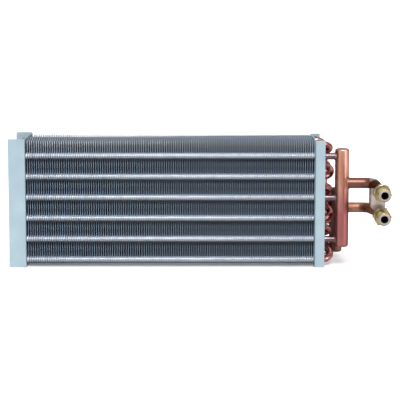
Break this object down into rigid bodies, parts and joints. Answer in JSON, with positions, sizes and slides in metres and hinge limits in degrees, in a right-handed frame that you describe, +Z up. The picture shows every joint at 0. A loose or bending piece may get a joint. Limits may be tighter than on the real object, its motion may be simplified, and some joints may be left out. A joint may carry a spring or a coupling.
{
  "type": "evaporator coil",
  "caption": "Finned evaporator coil: staggered tubes through thin fins between two channel end plates, with headers and two threaded connections at one end.",
  "frame": {"origin": "middle of the whole coil's bounding box, on the level that the end plates stand on", "axes": "+X along the fin block towards the headers and connections, -Y out of the front face where the connections point, +Z up"},
  "size_m": [0.4522, 0.194, 0.1564],
  "materials": {
    "plate": "smooth pale grey-blue sheet",
    "fin": "thin rolled fin stock, grey",
    "collar": "bright drawn fin stock",
    "tube": "drawn copper, brazed and tarnished at the joints",
    "header": "drawn copper with heat stains",
    "line": "drawn copper, dull brown",
    "connection": "turned brass",
    "strap": "plain sheet, dull"
  },
  "bodies": {
    "root": {"feed_tube_1": "tube", "feed_tube_2": "tube", "feed_tube_3": "tube", "fin_collars": "collar", "fins": "fin", "hairpin_1_1": "tube", "hairpin_1_2": "tube", "hairpin_1_3": "tube", "hairpin_1_4": "tube", "hairpin_2_1": "tube", "hairpin_2_2": "tube", "hairpin_2_3": "tube", "hairpin_2_4": "tube", "hairpin_3_1": "tube", "hairpin_3_2": "tube", "hairpin_3_3": "tube", "hairpin_3_4": "tube", "left_end_plate": "plate", "line_strap": "strap", "liquid_connection": "connection", "liquid_header": "header", "liquid_line": "line", "return_bend_1_1": "tube", "return_bend_1_2": "tube", "return_bend_1_3": "tube", "return_bend_2_1": "tube", "return_bend_2_2": "tube", "return_bend_2_3": "tube", "return_bend_3_1": "tube", "return_bend_3_2": "tube", "return_bend_3_3": "tube", "right_end_plate": "plate", "suction_connection": "connection", "suction_header": "header", "suction_line": "line", "suction_stub_1": "tube", "suction_stub_2": "tube", "suction_stub_3": "tube"}
  },
  "joints": []
}
